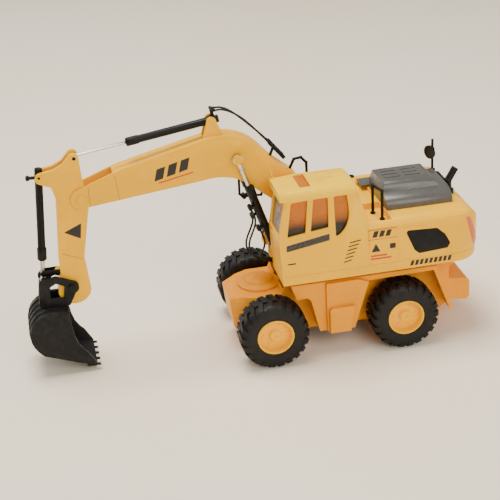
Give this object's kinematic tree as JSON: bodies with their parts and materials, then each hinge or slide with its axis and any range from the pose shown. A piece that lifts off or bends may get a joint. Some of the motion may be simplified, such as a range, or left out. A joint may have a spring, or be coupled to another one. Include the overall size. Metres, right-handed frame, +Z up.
{
  "type": "toy_excavator",
  "caption": "Yellow wheeled toy excavator with turning body, cab, dark engine hood, jointed boom, stick and bucket with dummy cylinders and hoses",
  "frame": {"origin": "middle of the overall length and width on the ground the tyres stand on", "axes": "+X forward towards the bucket, +Y to the machine's left where the cab is, +Z up"},
  "size_m": [0.5155, 0.1628, 0.2829],
  "materials": {
    "body_yellow": "moulded, light satin gloss",
    "roof_yellow": "moulded, light satin gloss",
    "arm_yellow": "moulded, light satin gloss",
    "chassis_orange": "moulded, satin",
    "grey_plastic": "moulded, satin",
    "black_plastic": "moulded, fine texture",
    "bucket_grey": "moulded, fine texture",
    "tyre_rubber": "soft moulded rubber",
    "hose_rubber": "smooth soft tube",
    "chrome_plate": "bright plated plastic",
    "screw_steel": "plain steel",
    "clear_window": "clear moulded pane",
    "tinted_window": "smoky amber moulded pane",
    "reflector_red": "printed reflector"
  },
  "bodies": {
    "chassis": {"chassis_frame": "chassis_orange", "belly_plate": "black_plastic", "chassis_screws": "screw_steel", "slew_ring": "black_plastic", "axle_bushes": "black_plastic", "gearbox_case": "grey_plastic", "drive_motor": "screw_steel", "side_steps": "chassis_orange", "nose_dome": "chassis_orange"},
    "front_axle": {"front_shaft": "screw_steel", "front_rims": "body_yellow", "front_tyres": "tyre_rubber"},
    "rear_axle": {"rear_shaft": "screw_steel", "rear_rims": "body_yellow", "rear_tyres": "tyre_rubber"},
    "upper_body": {"platform": "body_yellow", "slew_retainer": "black_plastic", "rear_body_shell": "body_yellow", "cab_shell": "body_yellow", "cab_roof": "roof_yellow", "windshield": "clear_window", "cab_windows": "tinted_window", "driver_seat": "black_plastic", "steering_wheel": "black_plastic", "right_box": "body_yellow", "engine_hood": "grey_plastic", "body_grilles": "black_plastic", "walkway_plate": "grey_plastic", "fuel_cap": "black_plastic", "handrail": "black_plastic", "mirror_mast": "black_plastic", "exhaust_pipe": "black_plastic", "tail_reflectors": "reflector_red", "boom_bracket": "body_yellow", "bracket_pins": "black_plastic", "lift_hose_inner": "hose_rubber", "lift_hose_outer": "hose_rubber", "lift_hose_low": "hose_rubber"},
    "mirror_head": {"side_mirror": "black_plastic"},
    "boom": {"boom_left_half": "arm_yellow", "boom_right_half": "arm_yellow", "boom_pins": "arm_yellow", "boom_pipes": "black_plastic", "hose_clamp": "black_plastic", "boom_hose_left": "hose_rubber", "boom_hose_right": "hose_rubber"},
    "stick": {"stick_left_half": "arm_yellow", "stick_right_half": "arm_yellow", "stick_pins": "black_plastic"},
    "bucket": {"bucket_shell": "bucket_grey", "bucket_teeth": "bucket_grey"},
    "idler": {"bucket_idler": "black_plastic"},
    "lift_barrel_left": {"boom_barrel_left": "black_plastic"},
    "lift_barrel_right": {"boom_barrel_right": "black_plastic"},
    "lift_rod_left": {"boom_rod_left": "chrome_plate"},
    "lift_rod_right": {"boom_rod_right": "chrome_plate"},
    "stick_cylinder": {"stick_barrel": "black_plastic"},
    "stick_ram": {"stick_rod": "chrome_plate"},
    "bucket_cylinder": {"bucket_barrel": "black_plastic"},
    "bucket_ram": {"bucket_rod": "chrome_plate"}
  },
  "joints": [
    {"name": "front_axle_spin", "type": "hinge", "parent": "chassis", "child": "front_axle", "pos_m": [-0.008, 0, 0.039], "axis": [0, 1, 0], "continuous": true},
    {"name": "rear_axle_spin", "type": "hinge", "parent": "chassis", "child": "rear_axle", "pos_m": [-0.158, 0, 0.039], "axis": [0, 1, 0], "continuous": true},
    {"name": "slew", "type": "hinge", "parent": "chassis", "child": "upper_body", "pos_m": [-0.083, 0, 0.096], "axis": [0, 0, 1], "continuous": true},
    {"name": "mirror_turn", "type": "hinge", "parent": "upper_body", "child": "mirror_head", "pos_m": [-0.233, -0.05, 0.185], "axis": [0, 0, 1], "range_deg": [-60, 60]},
    {"name": "boom_lift", "type": "hinge", "parent": "upper_body", "child": "boom", "pos_m": [-0.072, -0.005, 0.154], "axis": [0, -1, 0], "range_deg": [-12, 20]},
    {"name": "stick_swing", "type": "hinge", "parent": "boom", "child": "stick", "pos_m": [0.182, -0.005, 0.202], "axis": [0, -1, 0], "range_deg": [-20, 20]},
    {"name": "bucket_curl", "type": "hinge", "parent": "stick", "child": "bucket", "pos_m": [0.203, -0.005, 0.1], "axis": [0, -1, 0], "range_deg": [-24, 30]},
    {"name": "idler_swing", "type": "hinge", "parent": "stick", "child": "idler", "pos_m": [0.217, -0.005, 0.117], "axis": [0, -1, 0], "range_deg": [-31, 37]},
    {"name": "lift_barrel_left_tilt", "type": "hinge", "parent": "upper_body", "child": "lift_barrel_left", "pos_m": [-0.025, 0.0125, 0.118], "axis": [0, -1, 0], "range_deg": [-9.97, 16.41], "deforming": ["lift_hose_inner", "lift_hose_outer", "lift_hose_low"]},
    {"name": "lift_barrel_right_tilt", "type": "hinge", "parent": "upper_body", "child": "lift_barrel_right", "pos_m": [-0.025, -0.0225, 0.118], "axis": [0, -1, 0], "range_deg": [-9.97, 16.41]},
    {"name": "lift_rod_left_slide", "type": "slide", "parent": "lift_barrel_left", "child": "lift_rod_left", "axis": [0.3057, 0, 0.9521], "range_m": [-0.0118, 0.0194]},
    {"name": "lift_rod_right_slide", "type": "slide", "parent": "lift_barrel_right", "child": "lift_rod_right", "axis": [0.3057, 0, 0.9521], "range_m": [-0.0118, 0.0194]},
    {"name": "stick_cylinder_tilt", "type": "hinge", "parent": "boom", "child": "stick_cylinder", "pos_m": [0.034, -0.005, 0.269], "axis": [0, -1, 0], "range_deg": [-0.87, 0.87], "deforming": ["boom_hose_left", "boom_hose_right"]},
    {"name": "stick_rod_slide", "type": "slide", "parent": "stick_cylinder", "child": "stick_ram", "axis": [0.9903, 0, -0.1386], "range_m": [-0.016, 0.016]},
    {"name": "bucket_cylinder_tilt", "type": "hinge", "parent": "stick", "child": "bucket_cylinder", "pos_m": [0.223, -0.005, 0.231], "axis": [0, -1, 0], "range_deg": [-1.85, 1.54]},
    {"name": "bucket_rod_slide", "type": "slide", "parent": "bucket_cylinder", "child": "bucket_ram", "axis": [0.0891, 0, -0.996], "range_m": [-0.016, 0.0129]}
  ],
  "couplings": [
    {"joint": "idler_swing", "follows": "bucket_curl", "ratio": 1.2},
    {"joint": "lift_barrel_left_tilt", "follows": "boom_lift", "ratio": 0.8057},
    {"joint": "lift_barrel_right_tilt", "follows": "boom_lift", "ratio": 0.8057},
    {"joint": "lift_rod_left_slide", "follows": "boom_lift", "m_per_rad": 0.05439},
    {"joint": "lift_rod_right_slide", "follows": "boom_lift", "m_per_rad": 0.05439},
    {"joint": "stick_cylinder_tilt", "follows": "stick_swing", "ratio": -0.02834},
    {"joint": "stick_rod_slide", "follows": "stick_swing", "m_per_rad": -0.04473},
    {"joint": "bucket_cylinder_tilt", "follows": "bucket_curl", "ratio": -0.05177},
    {"joint": "bucket_rod_slide", "follows": "bucket_curl", "m_per_rad": -0.02974}
  ]
}
